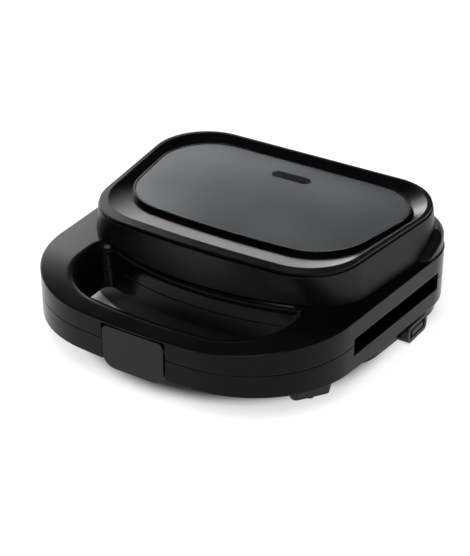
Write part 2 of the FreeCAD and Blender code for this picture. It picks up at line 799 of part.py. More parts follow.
def cord_cleat(side, sign):
    """Block that the cord winds round: a neck below the side wall and a rimmed outer face."""
    name = "cord_cleat_" + side
    body = new_body(name)
    face = new_sketch(body, "face", sign + CLEAT_OUT, plane="YZ_Plane")
    rectangle(face, "cleat_front", "cleat_rear", "cleat_low", "cleat_top")
    pad(face, "cleat_deep", down=sign == "")
    round_edges(body, name + "_round", "cleat_round", lambda edge: abs(edge.tangentAt(0).x) > 0.9)
    recess = new_sketch(body, "recess", sign + CLEAT_OUT, plane="YZ_Plane")
    rectangle(recess, "cleat_front + cleat_rim", "cleat_rear - cleat_rim", "cleat_low + cleat_rim",
              "cleat_top - cleat_rim")
    rectangle(recess, "cleat_front + cleat_rim + cleat_core", "cleat_rear - cleat_rim - cleat_core",
              "cleat_low + cleat_rim + cleat_core / 2", "cleat_top - cleat_rim - cleat_core / 2")
    pocket(recess, "cleat_recess", up=sign == "-")
    neck = new_sketch(body, "neck", "cleat_top - cleat_round")
    sides = (CLEAT_IN, CLEAT_NECK) if sign == "" else ("-" + CLEAT_NECK, "-" + CLEAT_IN)
    rectangle(neck, *sides, "cleat_front + cleat_round", "cleat_rear - cleat_round")
    pad(neck, "wall_bottom - cleat_top + cleat_round")


def cord_gland():
    """Bush for the mains cord in the rear wall."""
    height = "(%s + wall_bottom) / 2" % BASE_TOP
    back = Vector(0, 1, 0)
    flange = rod("gland_flange_disc", ("gland_x", "band_rear", height), "gland_flange_thick", "gland_flange",
                 along=back)
    sleeve = rod("gland_sleeve", ("gland_x", "band_rear - 2 * wall", height), "2 * wall", "gland_radius",
                 along=back)
    bore = rod("gland_bore_tool", ("gland_x", "band_rear - 3 * wall", height), "6 * wall", "gland_bore",
               along=back)
    node("cord_gland", cut_from("cord_gland", joined("gland_solid", [flange, sleeve]), [bore]))


def terminal_block():
    """Block that joins the cord to the leads, on the floor by the rear wall."""
    low = ("gland_x + gland_flange", "band_rear - wall - block_width", BASE_FLOOR)
    high = ("gland_x + gland_flange + block_length", "band_rear - wall", "%s + block_height" % BASE_FLOOR)
    block = box("block_solid", low, high)
    ways = [rod("block_way_%d" % i, ("gland_x + gland_flange + block_length * %d / 6" % (2 * i + 1),
                                     "band_rear - wall - 2 * block_width",
                                     "%s + block_height / 2" % BASE_FLOOR),
                "3 * block_width", "screw_shank", along=Vector(0, 1, 0)) for i in range(3)]
    node("terminal_block", cut_from("terminal_block", block, ways))


def ring_places():
    """Centres of the ring moulds."""
    columns = int(value_of("ring_count_x"))
    rows = int(value_of("ring_count_y"))
    return [("ring_pitch_x * %g" % (i - (columns - 1) / 2), "%s + ring_pitch_y * %g"
             % (RING_MID_Y, j - (rows - 1) / 2)) for i in range(columns) for j in range(rows)]


def torus(body, name, x, y, z, tube, cut):
    """Ring of round section in a body."""
    kind = "PartDesign::SubtractiveTorus" if cut else "PartDesign::AdditiveTorus"
    ring = body.newObject(kind, name)
    bind(ring, "Radius1", "ring_radius")
    bind(ring, "Radius2", tube)
    for axis, expression in zip("xyz", (x, y, z)):
        bind(ring, "Placement.Base." + axis, expression)
    return ring


def mould_plate(label, face, upper):
    """Cast plate: a slab with six ring moulds sunk into its working face and bulging out behind."""
    body = new_body(label)
    slab = new_sketch(body, "slab", face)
    outline(slab, "plate_half", "plate_half", "-plate_front", "plate_rear", "plate_radius", "plate_radius")
    pad(slab, "plate_thick", down=not upper)
    for number, (x, y) in enumerate(ring_places()):
        torus(body, "%s_bulge_%d" % (label, number), x, y, face, RING_OUT, cut=False)
    trim = new_sketch(body, "trim", face)
    rectangle(trim, "-2 * plate_half", "2 * plate_half", "-2 * plate_rear", "2 * plate_rear")
    pocket(trim, "2 * %s" % RING_OUT, up=not upper)
    for number, (x, y) in enumerate(ring_places()):
        torus(body, "%s_mould_%d" % (label, number), x, y, face, "ring_tube", cut=True)
    holes = new_sketch(body, "holes", face)
    for x, y in PLATE_SCREWS:
        circle(holes, x, y, "screw_shank + screw_clear")
    pocket(holes, "plate_thick", up=upper)
    sinks = new_sketch(body, "sinks", face)
    for x, y in PLATE_SCREWS:
        circle(sinks, x, y, "screw_head + screw_clear")
    pocket(sinks, "screw_head_height + screw_clear", up=upper)


def heating_element(label, height):
    """Tubular heater bent into a U, with a thin pin at each end."""
    body = new_body(label)
    path = new_sketch(body, "path", height)
    half, front, rear, bend = [value_of("element_" + n) for n in ("half", "front", "rear", "bend")]
    inner = half - bend
    low = -front + bend
    left_c, right_c = Vector(-inner, low, 0), Vector(inner, low, 0)
    edges = [
        Part.LineSegment(Vector(-half, rear, 0), Vector(-half, low, 0)),
        arc(left_c, bend, Vector(-half, low, 0), Vector(-inner, -front, 0)),
        Part.LineSegment(Vector(-inner, -front, 0), Vector(inner, -front, 0)),
        arc(right_c, bend, Vector(inner, -front, 0), Vector(half, low, 0)),
        Part.LineSegment(Vector(half, low, 0), Vector(half, rear, 0)),
    ]
    ids = [path.addGeometry(edge, False) for edge in edges]
    for this, other in zip(ids, ids[1:]):
        path.addConstraint(Sketcher.Constraint("Tangent", this, END, other, START))
    path.addConstraint(Sketcher.Constraint("Equal", ids[1], ids[3]))
    named(path, Sketcher.Constraint("Radius", ids[1], bend), "element_bend")
    path.addConstraint(Sketcher.Constraint("Horizontal", ids[2]))
    place(path, "DistanceY", ids[2], START, "-element_front")
    for line, point, x in ((ids[0], START, "-element_half"), (ids[4], END, "element_half")):
        path.addConstraint(Sketcher.Constraint("Vertical", line))
        place(path, "DistanceX", line, point, x)
        place(path, "DistanceY", line, point, "element_rear")
    section = new_sketch(body, "section", "-element_rear", plane="XZ_Plane")
    circle(section, "-element_half", height, "element_tube")
    tube = body.newObject("PartDesign::AdditivePipe", label + "_tube")
    tube.Profile = section
    tube.Spine = path
    ends = new_sketch(body, "ends", "-element_rear", plane="XZ_Plane")
    for x in ("-element_half", "element_half"):
        circle(ends, x, height, "element_pin")
    pad(ends, "element_pin_length", down=True)


def lower_reflector():
    """Flat heat shield on the tray's floor ribs, below the lower element."""
    body = new_body("lower_reflector")
    inset = "tray_wall + (wall_bottom - tray_bottom) * tan(tray_draft * 1deg) + screw_clear"
    sheet_low = "%s - element_tube - shield_gap - sheet_thick" % LOWER_ELEMENT
    plan = new_sketch(body, "plan", sheet_low)
    tray_outline(plan, inset)
    pad(plan, "sheet_thick")
    legs = new_sketch(body, "legs", "tray_bottom + tray_wall")
    for x, y in screw_places("rear_foot_x / 2", "0", "rear_foot_y"):
        circle(legs, x, y if y != "0" else "-element_front + boss_radius", "boss_radius")
    pad(legs, "%s - tray_bottom - tray_wall" % sheet_low)


def thermostat():
    """Bimetal thermostat under the lower plate, between four moulds."""
    x, y = "ring_pitch_x / 2", RING_MID_Y
    under = "%s - plate_thick" % BASE_TOP
    cap = rod("thermostat_cap_rod", (x, y, "%s - thermostat_cap" % under), "thermostat_cap",
              "thermostat_radius")
    foot = rod("thermostat_foot", (x, y, "%s - thermostat_cap - thermostat_height" % under),
               "thermostat_height", "thermostat_foot")
    node("thermostat", joined("thermostat_solid", [cap, foot]))


def thermal_fuse():
    """Cut-out strapped to the back of the upper plate, between four moulds."""
    back = "(%s + plate_thick)" % LID_LOW
    fuse = rod("fuse_barrel", ("-ring_pitch_x / 2 - fuse_length / 2", RING_MID_Y, "%s + fuse_radius" % back),
               "fuse_length", "fuse_radius", along=Vector(1, 0, 0))
    node("thermal_fuse", joined("fuse_solid", [fuse, box(
        "fuse_strap_block",
        ("-ring_pitch_x / 2 - fuse_strap / 2", "%s - fuse_strap" % RING_MID_Y, back),
        ("-ring_pitch_x / 2 + fuse_strap / 2", "%s + fuse_strap" % RING_MID_Y, back + " + fuse_strap_thick"),
    )]))


def knuckle(name, start, length, low, high, clear):
    """Hinge knuckle: a bored barrel on the axis with a web to the wall."""
    along = Vector(1, 0, 0)
    barrel = rod(name + "_barrel", (start, HINGE_Y, "parting"), length, "knuckle_radius", along=along)
    web = box(name + "_web", (start, "band_rear", low), ("%s + %s" % (start, length), HINGE_Y, high))
    bore = rod(name + "_bore", ("%s - %s" % (start, length), HINGE_Y, "parting"), "3 * (%s)" % length,
               "hinge_pin_radius + %s" % clear, along=along)
    return cut_from(name, joined(name + "_solid", [barrel, web]), [bore])


def hinge(side, sign):
    """One rear hinge: two fixed knuckles, the arm between them and the pin through all three."""
    mid = sign + "hinge_x"
    inner = "%s - arm_half - lug_gap - lug_length" % mid
    outer = "%s + arm_half + lug_gap" % mid
    lug_low = "%s - web_height" % BASE_TOP
    lugs = [knuckle("hinge_lug_%s_%d" % (side, i), start, "lug_length", lug_low, BASE_TOP, "pin_fit_clear")
            for i, start in enumerate((inner, outer))]
    node("hinge_lug_" + side, group("hinge_lugs_" + side, lugs))
    arm = knuckle("hinge_arm_" + side, "%s - arm_half" % mid, "2 * arm_half", LID_LOW,
                  "%s + web_height" % LID_LOW, "hinge_pin_clear")
    node("hinge_arm_" + side, arm)
    along = Vector(1, 0, 0)
    reach = "2 * (arm_half + lug_gap + lug_length)"
    shaft = rod("hinge_shaft_" + side, (inner, HINGE_Y, "parting"), reach, "hinge_pin_radius", along=along)
    heads = [rod("hinge_head_%s_%d" % (side, i), (start, HINGE_Y, "parting"), "pin_head_thick",
                 "pin_head_radius", along=along)
             for i, start in enumerate(("%s - pin_head_thick" % inner, "%s + lug_length" % outer))]
    node("hinge_pin_" + side, joined("hinge_pin_solid_" + side, [shaft] + heads))


def dome_outline(sketch, inset="0"):
    """Foot of the raised lid, or a line inside it."""
    inset = "(%s)" % inset
    outline(sketch, "%s - %s" % (DOME_HALF, inset), "%s - %s" % (DOME_HALF_FRONT, inset),
            "-hole_rear + %s" % inset,
            "band_rear - %s" % inset, "dome_front_radius - %s" % inset, "dome_rear_radius - %s" % inset,
            bow="hole_rear_bow - %s" % inset)


def lip_outline(sketch, inset="0"):
    """Lip at the top of the lid, or a line inside it."""
    inset = "(%s)" % inset
    outline(sketch, "%s - %s" % (LIP_HALF, inset), "%s - %s" % (LIP_HALF_FRONT, inset),
            "-lip_front + %s" % inset,
            "lip_rear - %s" % inset, "lip_front_radius - %s" % inset, "lip_rear_radius - %s" % inset,
            bow="lip_bow - %s" % inset)


def panel_outline(sketch, outset="0"):
    """Grey panel, or a line outside it."""
    outset = "(%s)" % outset
    outline(sketch, "%s + %s" % (PANEL_HALF, outset), "%s + %s" % (PANEL_HALF_FRONT, outset),
            "-panel_front - %s" % outset,
            "panel_rear + %s" % outset, "panel_front_radius + %s" % outset, "panel_rear_radius + %s" % outset,
            bow="panel_bow + %s" % outset)


def lid_frame():
    """Upper shell: band, shoulder, rounded grip, bosses, latch recess and vent slots."""
    body = new_body("lid_frame")
    height = "shoulder - %s" % LID_LOW
    plan = new_sketch(body, "plan", LID_LOW)
    band_outline(plan)
    hole_outline(plan)
    pad(plan, height)
    dip = new_sketch(body, "dip", "0", plane="YZ_Plane")
    above_arc(dip, "-dip_start", "-band_front - wall", "shoulder", DIP_RADIUS, "shoulder + cut_over")
    pocket(dip, "3 * band_half", both_ways=True)
    reach = value_of("hole_half") + value_of("wall")
    front = -value_of("hole_front") - value_of("wall")
    rear = -value_of("hole_rear")
    low = value_of("shoulder") - 2 * value_of("dip_depth")

    def at_hole(edge):
        limits = edge.BoundBox
        inside = max(limits.XMax, -limits.XMin) < reach and limits.YMin > front and limits.YMax < 0
        return inside and limits.ZMin > low

    def at_rim(edge):
        limits = edge.BoundBox
        beyond = value_of("grip_round") + value_of("cut_over")
        outside = max(limits.XMax, -limits.XMin) > reach + beyond or limits.YMin < front - beyond
        across = limits.YMax - limits.YMin < value_of("edge_round")
        return limits.ZMin > low and (limits.YMin > 0 or outside and not across)

    round_edges(body, "lid_frame_grip", "grip_round",
                lambda edge: at_hole(edge) and edge.BoundBox.YMin < rear - value_of("cut_over"))
    round_edges(body, "lid_frame_rim", "edge_round", at_rim)
    hollow = new_sketch(body, "hollow", LID_LOW)
    band_outline(hollow, "wall")
    hole_outline(hollow, "grip_wall")
    pocket(hollow, "%s - floor_thick - dip_depth" % height, up=True)
    body_room = new_sketch(body, "body_room", LID_LOW)
    dome_outline(body_room, "wall")
    pocket(body_room, "%s - floor_thick" % height, up=True)
    keeper = new_sketch(body, "keeper", LID_LOW)
    rectangle(keeper, "-latch_half - latch_gap - latch_cheek", "latch_half + latch_gap + latch_cheek",
              "-band_front + wall", "-hole_front - grip_wall / 2")
    pad(keeper, "%s - floor_thick - dip_depth + cut_over" % height)
    opening = new_sketch(body, "opening", "shoulder")
    dome_outline(opening, "dome_flange")
    pocket(opening, height)
    posts = new_sketch(body, "posts", "%s + plate_thick" % LID_LOW)
    for x, y in PLATE_SCREWS:
        circle(posts, x, y, "boss_radius")
    pad(posts, "shoulder - %s - plate_thick" % LID_LOW)
    latch_recess = new_sketch(body, "latch_recess", LID_LOW)
    rectangle(latch_recess, "-latch_half - latch_gap", "latch_half + latch_gap",
              "-band_front - wall", "-band_front + latch_recess")
    pocket(latch_recess, "latch_roof - %s" % LID_LOW, up=True)
    slots = new_sketch(body, "slots", LID_LOW)
    slot_outlines(slots)
    pocket(slots, "slot_rise", up=True)
    threads = new_sketch(body, "threads", "%s + plate_thick" % LID_LOW)
    for x, y in PLATE_SCREWS:
        circle(threads, x, y, "screw_shank + pin_fit_clear")
    pocket(threads, "shoulder - %s - plate_thick - floor_thick" % LID_LOW, up=True)
    pivot = new_sketch(body, "pivot", "0", plane="YZ_Plane")
    circle(pivot, LATCH_PIVOT_Y, "latch_pivot_height", "latch_pin_radius + pin_fit_clear")
    pocket(pivot, "2 * (latch_half + latch_gap + latch_pin_bury)", both_ways=True)


def lid_dome():
    """Raised wall of the lid, from the shoulder to the ledge below the lip, with a fuller rear end."""
    body = new_body("lid_dome")
    housing = new_sketch(body, "housing", "shoulder")
    lean = "(band_half - band_half_front) / (band_front + band_rear)"
    outline(housing, "band_half - housing_inset",
            "band_half - housing_inset - %s * (band_rear - housing_front)" % lean, "housing_front",
            "band_rear", "housing_front_radius", "band_rear_radius")
    pad(housing, "housing_height")
    round_edges(body, "lid_dome_housing_round", "housing_round", at_height("shoulder + housing_height"))
    ramp = new_sketch(body, "ramp", "0", plane="YZ_Plane")
    triangle(ramp, ("housing_front - cut_over", "shoulder"),
             ("housing_front + housing_ramp", "shoulder + housing_height + cut_over"),
             ("housing_front - cut_over", "shoulder + housing_height + cut_over"))
    pocket(ramp, "3 * band_half", both_ways=True)
    foot = new_sketch(body, "foot", "shoulder")
    dome_outline(foot)
    ledge = new_sketch(body, "ledge", "lip_mid_height - lip_step", tilt="lip_tilt")
    lip_outline(ledge, "-dome_ledge")
    loft(foot, ledge)
    foot_inside = new_sketch(body, "foot_inside", "shoulder - cut_over")
    dome_outline(foot_inside, "dome_wall")
    ledge_inside = new_sketch(body, "ledge_inside", "lip_mid_height - lip_step + cut_over", tilt="lip_tilt")
    lip_outline(ledge_inside, "dome_wall - dome_ledge")
    loft(foot_inside, ledge_inside, cut=True)


def top_cover():
    """Dished cover: a lip round the edge and a floor that falls towards the panel."""
    body = new_body("top_cover")
    under = new_sketch(body, "under", "dish_mid_height - dish_thick", tilt="dish_tilt")
    panel_outline(under, "panel_border + dish_thick")
    ledge = new_sketch(body, "ledge", "lip_mid_height - lip_step", tilt="lip_tilt")
    lip_outline(ledge, "dome_wall - dome_ledge + screw_clear")
    loft(under, ledge)
    rim = new_sketch(body, "rim", "lip_mid_height - lip_step", tilt="lip_tilt")
    lip_outline(rim)
    pad(rim, "lip_step")
    dish = new_sketch(body, "dish", "dish_mid_height", tilt="dish_tilt")
    panel_outline(dish, "panel_border + panel_gap")
    mouth = new_sketch(body, "mouth", "lip_mid_height + cut_over", tilt="lip_tilt")
    lip_outline(mouth, "lip_width")
    loft(dish, mouth, cut=True)
    window = new_sketch(body, "window", "panel_height")
    lens_outline(window, "lens_gap + panel_border")
    pocket(window, "panel_height - dish_mid_height + lip_step")


def lens_outline(sketch, outset="0"):
    """Oval window, or a line outside it."""
    outset = "(%s)" % outset
    outline(sketch, "lens_half + %s" % outset, "lens_half + %s" % outset,
            "lens_y - lens_round - lens_gap - %s" % outset, "lens_y + lens_round + lens_gap + %s" % outset,
            "lens_round + %s" % outset, "lens_round + %s" % outset)


def panel_frame():
    """Raised frame that stands on the dish and holds the panel."""
    body = new_body("panel_frame")
    foot = new_sketch(body, "foot", "dish_mid_height + pin_fit_clear", tilt="dish_tilt")
    panel_outline(foot, "panel_border")
    top = new_sketch(body, "top", "panel_height")
    panel_outline(top, "panel_border")
    loft(foot, top)
    seat = new_sketch(body, "seat", "panel_height")
    panel_outline(seat, "panel_gap")
    pocket(seat, "panel_sink + panel_thick")
    window = new_sketch(body, "window", "panel_height")
    lens_outline(window, "lens_gap")
    pocket(window, "panel_height - dish_mid_height")


def top_panel():
    """Grey panel with an oval cut-out."""
    body = new_body("top_panel")
    plan = new_sketch(body, "plan", "panel_height - panel_sink - panel_thick")
    panel_outline(plan)
    lens_outline(plan, "lens_gap")
    pad(plan, "panel_thick")


def indicator_lens():
    """Oval window in the panel."""
    body = new_body("indicator_lens")
    plan = new_sketch(body, "plan", "panel_height - panel_sink")
    lens_outline(plan)
    pad(plan, "lens_deep", down=True)


def lamps():
    """Two indicator lamps on their carrier below the window."""
    lens_low = "panel_height - panel_sink - lens_deep"
    board_top = "%s - lamp_height" % lens_low
    for name, sign in (("power_lamp", "-"), ("ready_lamp", "")):
        lamp = rod(name + "_rod", ("%slamp_spacing / 2" % sign, "lens_y", board_top), "lamp_height",
                   "lamp_radius")
        node(name, lamp)
    half = "(lens_half + carrier_margin)"
    deep = "(lens_round + carrier_margin)"
    board = box("carrier_board", ("-" + half, "lens_y - " + deep, "%s - carrier_thick" % board_top),
                (half, "lens_y + " + deep, board_top))
    posts = [rod("carrier_post", ("%s(%s - carrier_margin / 2)" % (sign, half), "lens_y", board_top),
                 "dish_mid_height - dish_thick + lens_y * tan(dish_tilt * 1deg) - (%s) - screw_clear"
                 % board_top, "carrier_margin / 2") for sign in ("", "-")]
    node("lamp_carrier", joined("carrier_solid", [board] + posts))


def upper_reflector():
    """Pan-shaped heat shield over the upper element, on the frame's flange."""
    body = new_body("upper_reflector")
    top = "(%s + element_tube + shield_gap)" % UPPER_ELEMENT
    plan = new_sketch(body, "plan", "shoulder")
    dome_outline(plan, "shield_inset")
    pad(plan, "%s + sheet_thick - shoulder" % top)
    inside = new_sketch(body, "inside", "shoulder")
    dome_outline(inside, "shield_inset + sheet_thick")
    pocket(inside, "%s - shoulder" % top, up=True)


def latch():
    """Front clip: a plate with a pivot barrel behind its top and a thick lower lip."""
    body = new_body("latch")
    plate = new_sketch(body, "plate", "band_front", plane="XZ_Plane")
    outline(plate, "latch_half", "latch_half", "latch_bottom", "latch_top", "latch_bottom_radius",
            "latch_top_radius")
    pad(plate, "latch_thick", down=True)
    lip = new_sketch(body, "lip", "band_front - latch_thick", plane="XZ_Plane")
    outline(lip, "latch_half", "latch_half", "latch_bottom", "latch_bottom + latch_lip_height",
            "latch_bottom_radius", "latch_lip_radius")
    pad(lip, "latch_lip", down=True)
    barrel = new_sketch(body, "barrel", "0", plane="YZ_Plane")
    circle(barrel, LATCH_PIVOT_Y, "latch_pivot_height", "latch_barrel")
    pad(barrel, "2 * (latch_half - latch_top_radius)").Midplane = True
    bore = new_sketch(body, "bore", "0", plane="YZ_Plane")
    circle(bore, LATCH_PIVOT_Y, "latch_pivot_height", "latch_pin_radius + latch_pin_clear")
    pocket(bore, "3 * latch_half", both_ways=True)


def latch_pin():
    """Pivot of the latch, held in the cheeks of the recess."""
    reach = "(latch_half + latch_gap + latch_pin_bury)"
    pin = rod("latch_pin_rod", ("-" + reach, LATCH_PIVOT_Y, "latch_pivot_height"), "2 * " + reach,
              "latch_pin_radius", along=Vector(1, 0, 0))
    node("latch_pin", pin)


base_shell()
bottom_cover()
screws("bottom_cover_screws", COVER_SCREWS, "(wall_bottom - flange_thick)",
       "(flange_thick + floor_thick + cover_boss_height - screw_clear)", up=True)
for side, sign in (("left", "-"), ("right", "")):
    front_foot(side, sign)
    rear_foot(side, sign)
    cord_cleat(side, sign)
    hinge(side, sign)
foot_pads()
cord_gland()
terminal_block()
mould_plate("lower_plate", BASE_TOP, upper=False)
screws("lower_plate_screws", PLATE_SCREWS, "(%s - screw_head_height - screw_clear)" % BASE_TOP,
       "(plate_thick + cover_boss_height - screw_clear - screw_head_height)", up=False)
heating_element("lower_heating_element", LOWER_ELEMENT)
lower_reflector()
thermostat()
lid_frame()
lid_dome()
top_cover()
panel_frame()
top_panel()
indicator_lens()
lamps()
mould_plate("upper_plate", LID_LOW, upper=True)
screws("upper_plate_screws", PLATE_SCREWS, "(%s + screw_head_height + screw_clear)" % LID_LOW,
       "(plate_thick + cover_boss_height - screw_clear - screw_head_height)", up=True)
heating_element("upper_heating_element", UPPER_ELEMENT)
upper_reflector()
thermal_fuse()
latch()
latch_pin()
doc.recompute()

# Nothing is written unless every object computed
for thing in doc.Objects:
    if any(flag in thing.State for flag in ("Invalid", "Error")):
        raise RuntimeError("%s did not compute: %s" % (thing.Label, thing.State))
for label, thing in NODES.items():
    if thing.Shape.isNull() or not thing.Shape.isValid():
        raise RuntimeError("%s has no valid shape" % label)
os.makedirs("parts", exist_ok=True)
for label, thing in NODES.items():
    thing.Shape.exportStep("parts/%s.step" % label)
    print("%-24s %3d solids %10.1f mm3" % (label, len(thing.Shape.Solids), thing.Shape.Volume))
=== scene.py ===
# %% [markdown]
# A donut maker is a clam-shell of moulded plastic round two hot plates. Its shapes could be
# modelled here as meshes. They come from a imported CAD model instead, because other programs use the
# same shapes, so this lesson is about looks: finishes, light and a camera. The model is loaded
# first and stays where it is, and everything else is measured from it.

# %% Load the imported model
import json
import math

import bpy
from mathutils import Matrix, Vector


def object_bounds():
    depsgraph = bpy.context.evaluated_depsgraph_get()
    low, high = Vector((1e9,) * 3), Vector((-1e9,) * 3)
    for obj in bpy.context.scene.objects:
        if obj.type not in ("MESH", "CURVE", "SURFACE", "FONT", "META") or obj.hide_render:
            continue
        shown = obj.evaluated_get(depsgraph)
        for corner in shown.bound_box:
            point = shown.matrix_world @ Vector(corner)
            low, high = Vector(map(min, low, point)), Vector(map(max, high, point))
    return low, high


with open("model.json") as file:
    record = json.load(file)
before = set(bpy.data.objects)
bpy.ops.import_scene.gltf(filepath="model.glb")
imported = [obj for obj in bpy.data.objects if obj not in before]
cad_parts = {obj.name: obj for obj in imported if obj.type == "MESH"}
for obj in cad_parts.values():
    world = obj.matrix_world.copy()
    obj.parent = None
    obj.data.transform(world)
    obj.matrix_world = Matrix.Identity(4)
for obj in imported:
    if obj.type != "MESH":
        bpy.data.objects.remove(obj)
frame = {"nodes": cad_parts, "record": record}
cad_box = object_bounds()
print("nodes", len(frame["nodes"]), "box", [round(v, 4) for v in cad_box[1] - cad_box[0]])

# %% [markdown]
# Colours are written as the hex values that a screen shows, and shaders want linear light. The
# colour picker does that sum for a colour typed in by hand. In a script one function does it, so
# that every colour below can be read and compared as it looks.

# %% Colour helper
def linear(hex_colour):
    """Linear RGBA of an sRGB hex colour."""
    channels = [int(hex_colour[i:i + 2], 16) / 255 for i in (1, 3, 5)]
    return [c / 12.92 if c <= 0.04045 else ((c + 0.055) / 1.055) ** 2.4 for c in channels] + [1.0]


white = linear("#ffffff")
print("middle grey in linear light", round(linear("#808080")[0], 4))

# %% [markdown]
# A material is a tree of nodes, which can be wired by hand in the shader editor. Here one function
# adds a node: it takes the node's kind, its settings, the plain values of its sockets, and the
# sockets that other nodes feed. Each call then reads like one box in the editor, from left to
# right.

# %% Node helpers
def add(tree, kind, settings=None, values=None, links=None):
    """Add one node, set it up and feed its sockets from (node, output) pairs."""
    node = tree.nodes.new(kind)
    for name, value in (settings or {}).items():
        setattr(node, name, value)
    for name, value in (values or {}).items():
        node.inputs[name].default_value = value
    for name, (source, output) in (links or {}).items():
        tree.links.new(source.outputs[output], node.inputs[name])
    return node


def new_material(name):
    """Empty node material with its tree."""
    material = bpy.data.materials.new(name)
    material.use_nodes = True
    material.node_tree.nodes.clear()
    return material, material.node_tree


print("helpers", add.__name__, new_material.__name__)

# %% [markdown]
# No moulded or painted surface is one flat colour. Colour and gloss drift a little across it, the
# tool leaves a fine grain, and the edges are rounded. Painted images could show that. Noise of a
# real size needs no image and fits every piece, and a bevel node rounds the sharp edges of CAD
# solids for the light alone, so the mesh stays as it is. Object coordinates are metres in the
# shared frame, so a noise scale is one over a size. Real tool grain is finer than a pixel of the
# picture, so each grain is drawn coarser here, at a size that just shows.

# %% A finish with colour, roughness and grain
millimetre = 0.001
noise_low = 0.35      # most of the noise lies between these two values
noise_high = 0.65
patch_detail = 3.0
grain_detail = 2.0
bevel_samples = 6


def finish(name, colours, roughness, patch_mm, grain_mm, grain_depth_mm, edge_mm, values):
    """Principled material: patches of two colours and two roughnesses, fine grain and rounded edges."""
    material, tree = new_material(name)
    where = add(tree, "ShaderNodeTexCoord")
    patches = add(tree, "ShaderNodeTexNoise", {},
                  {"Scale": 1 / (patch_mm * millimetre), "Detail": patch_detail},
                  {"Vector": (where, "Object")})
    tint = add(tree, "ShaderNodeValToRGB", {}, {}, {"Fac": (patches, "Fac")})
    for element, place, colour in zip(tint.color_ramp.elements, (noise_low, noise_high), colours):
        element.position = place
        element.color = linear(colour)
    sheen = add(tree, "ShaderNodeMapRange", {},
                {"From Min": noise_low, "From Max": noise_high,
                 "To Min": roughness[0], "To Max": roughness[1]},
                {"Value": (patches, "Fac")})
    grain = add(tree, "ShaderNodeTexNoise", {},
                {"Scale": 1 / (grain_mm * millimetre), "Detail": grain_detail},
                {"Vector": (where, "Object")})
    edge = add(tree, "ShaderNodeBevel", {"samples": bevel_samples}, {"Radius": edge_mm * millimetre})
    bump = add(tree, "ShaderNodeBump", {}, {"Strength": 1.0, "Distance": grain_depth_mm * millimetre},
               {"Height": (grain, "Fac"), "Normal": (edge, "Normal")})
    shader = add(tree, "ShaderNodeBsdfPrincipled", {}, values,
                 {"Base Color": (tint, "Color"), "Roughness": (sheen, "Result"),
                  "Normal": (bump, "Normal")})
    add(tree, "ShaderNodeOutputMaterial", {}, {}, {"Surface": (shader, "BSDF")})
    return material


print("finishes are sized in units of", millimetre, "m")

# %% [markdown]
# The shells, dome, latch and feet are black ABS, moulded in steel tools. One plain black would do
# from afar, but the tools differ: a polished one leaves clear soft reflections, and a spark-eroded
# one leaves fine pits that spread the light. So there are three blacks. ABS has an IOR near 1.53,
# and a lower specular level stands for the faint haze of a moulded part.

# %% Black plastics
abs_ior = 1.53
# Bands, dished cover and panel frame, from a polished tool: deep black, clear but soft reflections.
polished_abs = finish(
    "polished_abs", colours=("#060607", "#09090a"), roughness=(0.18, 0.22), patch_mm=40,
    grain_mm=0.6, grain_depth_mm=0.0008, edge_mm=0.7,
    values={"IOR": abs_ior, "Specular IOR Level": 0.11})
# Dome and latch, from a spark-eroded tool: black with a broad, weak sheen.
satin_abs = finish(
    "satin_abs", colours=("#08080a", "#0c0c0d"), roughness=(0.34, 0.42), patch_mm=30,
    grain_mm=0.5, grain_depth_mm=0.005, edge_mm=0.7,
    values={"IOR": abs_ior, "Specular IOR Level": 0.24})
# Tray, feet, cleats and hinge parts, from a coarser tool: dull black.
textured_abs = finish(
    "textured_abs", colours=("#111112", "#18181a"), roughness=(0.50, 0.60), patch_mm=25,
    grain_mm=0.7, grain_depth_mm=0.02, edge_mm=0.6,
    values={"IOR": abs_ior, "Specular IOR Level": 0.35})
print("blacks", polished_abs.name, satin_abs.name, textured_abs.name)

# %% [markdown]
# The panel on the lid is painted with a grey metallic lacquer, whose flakes lie almost flat. Flakes
# could be drawn one by one, but from a step away they only show as a broad highlight that runs
# across the panel. A shader that is partly metallic gives that highlight with one number.

# %% Panel lacquer
# Even blue-grey with a wide soft shine.
grey_lacquer = finish(
    "grey_lacquer", colours=("#4b5357", "#4f575b"), roughness=(0.23, 0.26), patch_mm=60,
    grain_mm=0.35, grain_depth_mm=0.002, edge_mm=0.4,
    values={"Metallic": 0.65, "IOR": 1.5, "Specular IOR Level": 0.3})
print("panel", grey_lacquer.name)

# %% [markdown]
# Two indicator lamps sit behind an oval window of smoked acrylic. Real light could be let through
# the window, but with the lamps off it looks almost black, so a dark polished finish is enough. The
# lamps are moulded from clear tinted acrylic, and some transmission lets their colour come from
# inside.

# %% Window and lamps
acrylic_ior = 1.49
# Polished window: almost black from outside.
smoked_acrylic = finish(
    "smoked_acrylic", colours=("#050506", "#08080a"), roughness=(0.10, 0.14), patch_mm=10,
    grain_mm=1.0, grain_depth_mm=0.0005, edge_mm=0.5,
    values={"IOR": acrylic_ior, "Specular IOR Level": 0.4})


def tinted_acrylic(name, colours):
    """Clear tinted acrylic of an indicator lamp: glossy, with depth of colour."""
    return finish(name, colours=colours, roughness=(0.12, 0.18), patch_mm=3,
                  grain_mm=0.8, grain_depth_mm=0.001, edge_mm=0.3,
                  values={"IOR": acrylic_ior, "Transmission Weight": 0.4})


red_acrylic = tinted_acrylic("red_acrylic", ("#8e1c12", "#b3261a"))
green_acrylic = tinted_acrylic("green_acrylic", ("#1f7a33", "#2c9a44"))
print("window and lamps", smoked_acrylic.name, red_acrylic.name, green_acrylic.name)

# %% [markdown]
# The two mould plates are cast aluminium with a sprayed non-stick coating. The droplets of the
# spray dry to a faintly pebbled skin. Real bumps would need a very fine mesh, and the CAD mesh has
# to stay, so bump from the grain noise gives the pebbles.

